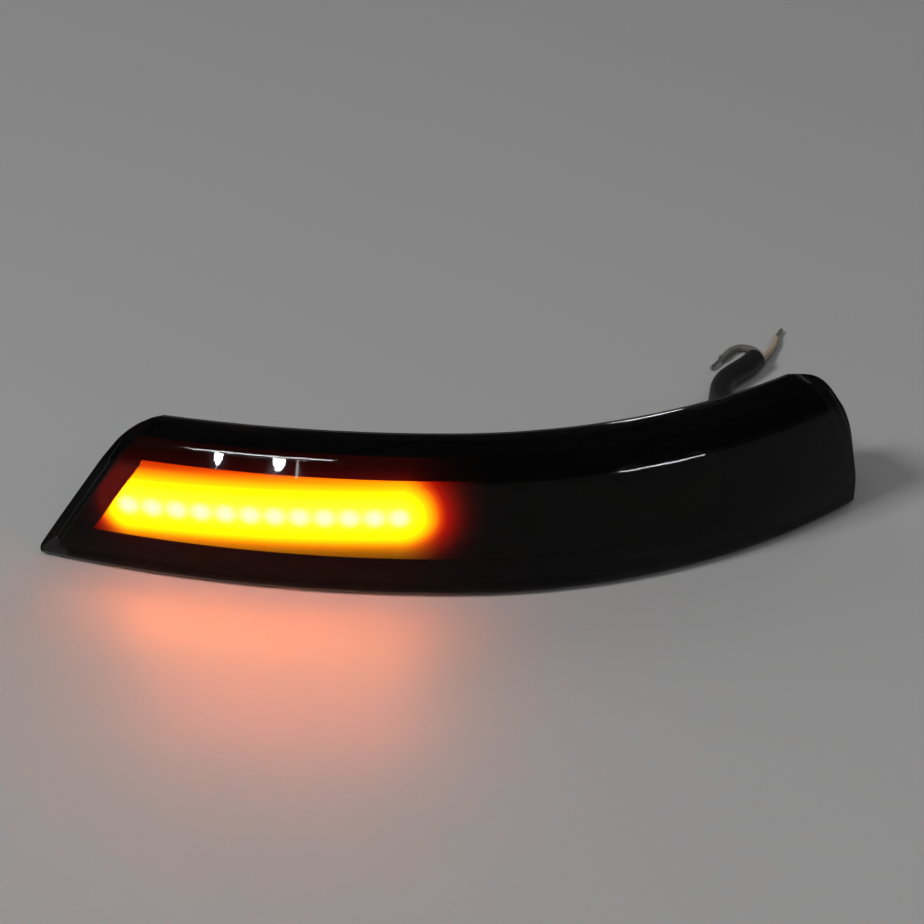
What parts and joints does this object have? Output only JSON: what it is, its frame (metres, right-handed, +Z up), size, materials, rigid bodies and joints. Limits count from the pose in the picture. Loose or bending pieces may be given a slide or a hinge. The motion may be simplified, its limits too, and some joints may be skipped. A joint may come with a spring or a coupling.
{
  "type": "side repeater lamp",
  "caption": "Long bowed side repeater lamp for a door mirror: smoked glossy lens over a lit amber window, black rear housing with screw bosses and snap hooks, and a sleeved two-wire lead.",
  "frame": {"origin": "on the table under the middle of the lamp without its free lead, at the height of the lower rim", "axes": "+X along the lamp from its pointed end with the lit window to its blunt end, +Y from the lens to the back, +Z up from the lower rim"},
  "size_m": [0.1542, 0.0903, 0.0304],
  "materials": {
    "smoked_lens": "gloss",
    "black_housing": "fine satin",
    "seal": "matt",
    "black_bezel": "satin",
    "opal_diffuser": "lit opal",
    "white_tray": "gloss white",
    "white_board": "solder resist",
    "green_board": "solder resist",
    "copper_link": "satin",
    "chip_black": "matt",
    "capacitor_tan": "matt",
    "screw_steel": "zinc plated",
    "black_rubber": "matt",
    "wire_tan": "satin",
    "wire_grey": "satin",
    "tin": "satin",
    "led_body": "gloss"
  },
  "bodies": {
    "root": {"lens_shell": "smoked_lens", "rear_housing": "black_housing", "lens_seal": "seal", "inner_bezel": "black_bezel", "diffuser_bar": "opal_diffuser", "reflector_tray": "white_tray", "led_board": "white_board", "control_board": "green_board", "board_link": "copper_link", "driver_chip": "chip_black", "voltage_regulator": "chip_black", "input_diode": "chip_black", "input_capacitor": "capacitor_tan", "output_capacitor": "capacitor_tan", "resistor_1": "chip_black", "resistor_2": "chip_black", "resistor_3": "chip_black", "resistor_4": "chip_black", "tray_screw_left": "screw_steel", "tray_screw_right": "screw_steel", "board_screw_upper": "screw_steel", "board_screw_lower": "screw_steel", "cable_grommet": "black_rubber", "lead_sleeve": "black_rubber", "inner_wire_plus": "wire_tan", "inner_wire_minus": "wire_grey", "solder_plus": "tin", "solder_minus": "tin", "lead_wire_plus": "wire_tan", "lead_wire_minus": "wire_grey", "bare_end_plus": "tin", "bare_end_minus": "tin", "led_01": "led_body", "led_02": "led_body", "led_03": "led_body", "led_04": "led_body", "led_05": "led_body", "led_06": "led_body", "led_07": "led_body", "led_08": "led_body", "led_09": "led_body", "led_10": "led_body", "led_11": "led_body", "led_12": "led_body", "led_13": "led_body", "led_14": "led_body", "led_15": "led_body", "led_16": "led_body", "led_17": "led_body", "led_18": "led_body", "led_19": "led_body", "led_20": "led_body", "led_21": "led_body", "led_22": "led_body", "led_23": "led_body", "led_24": "led_body"}
  },
  "joints": []
}
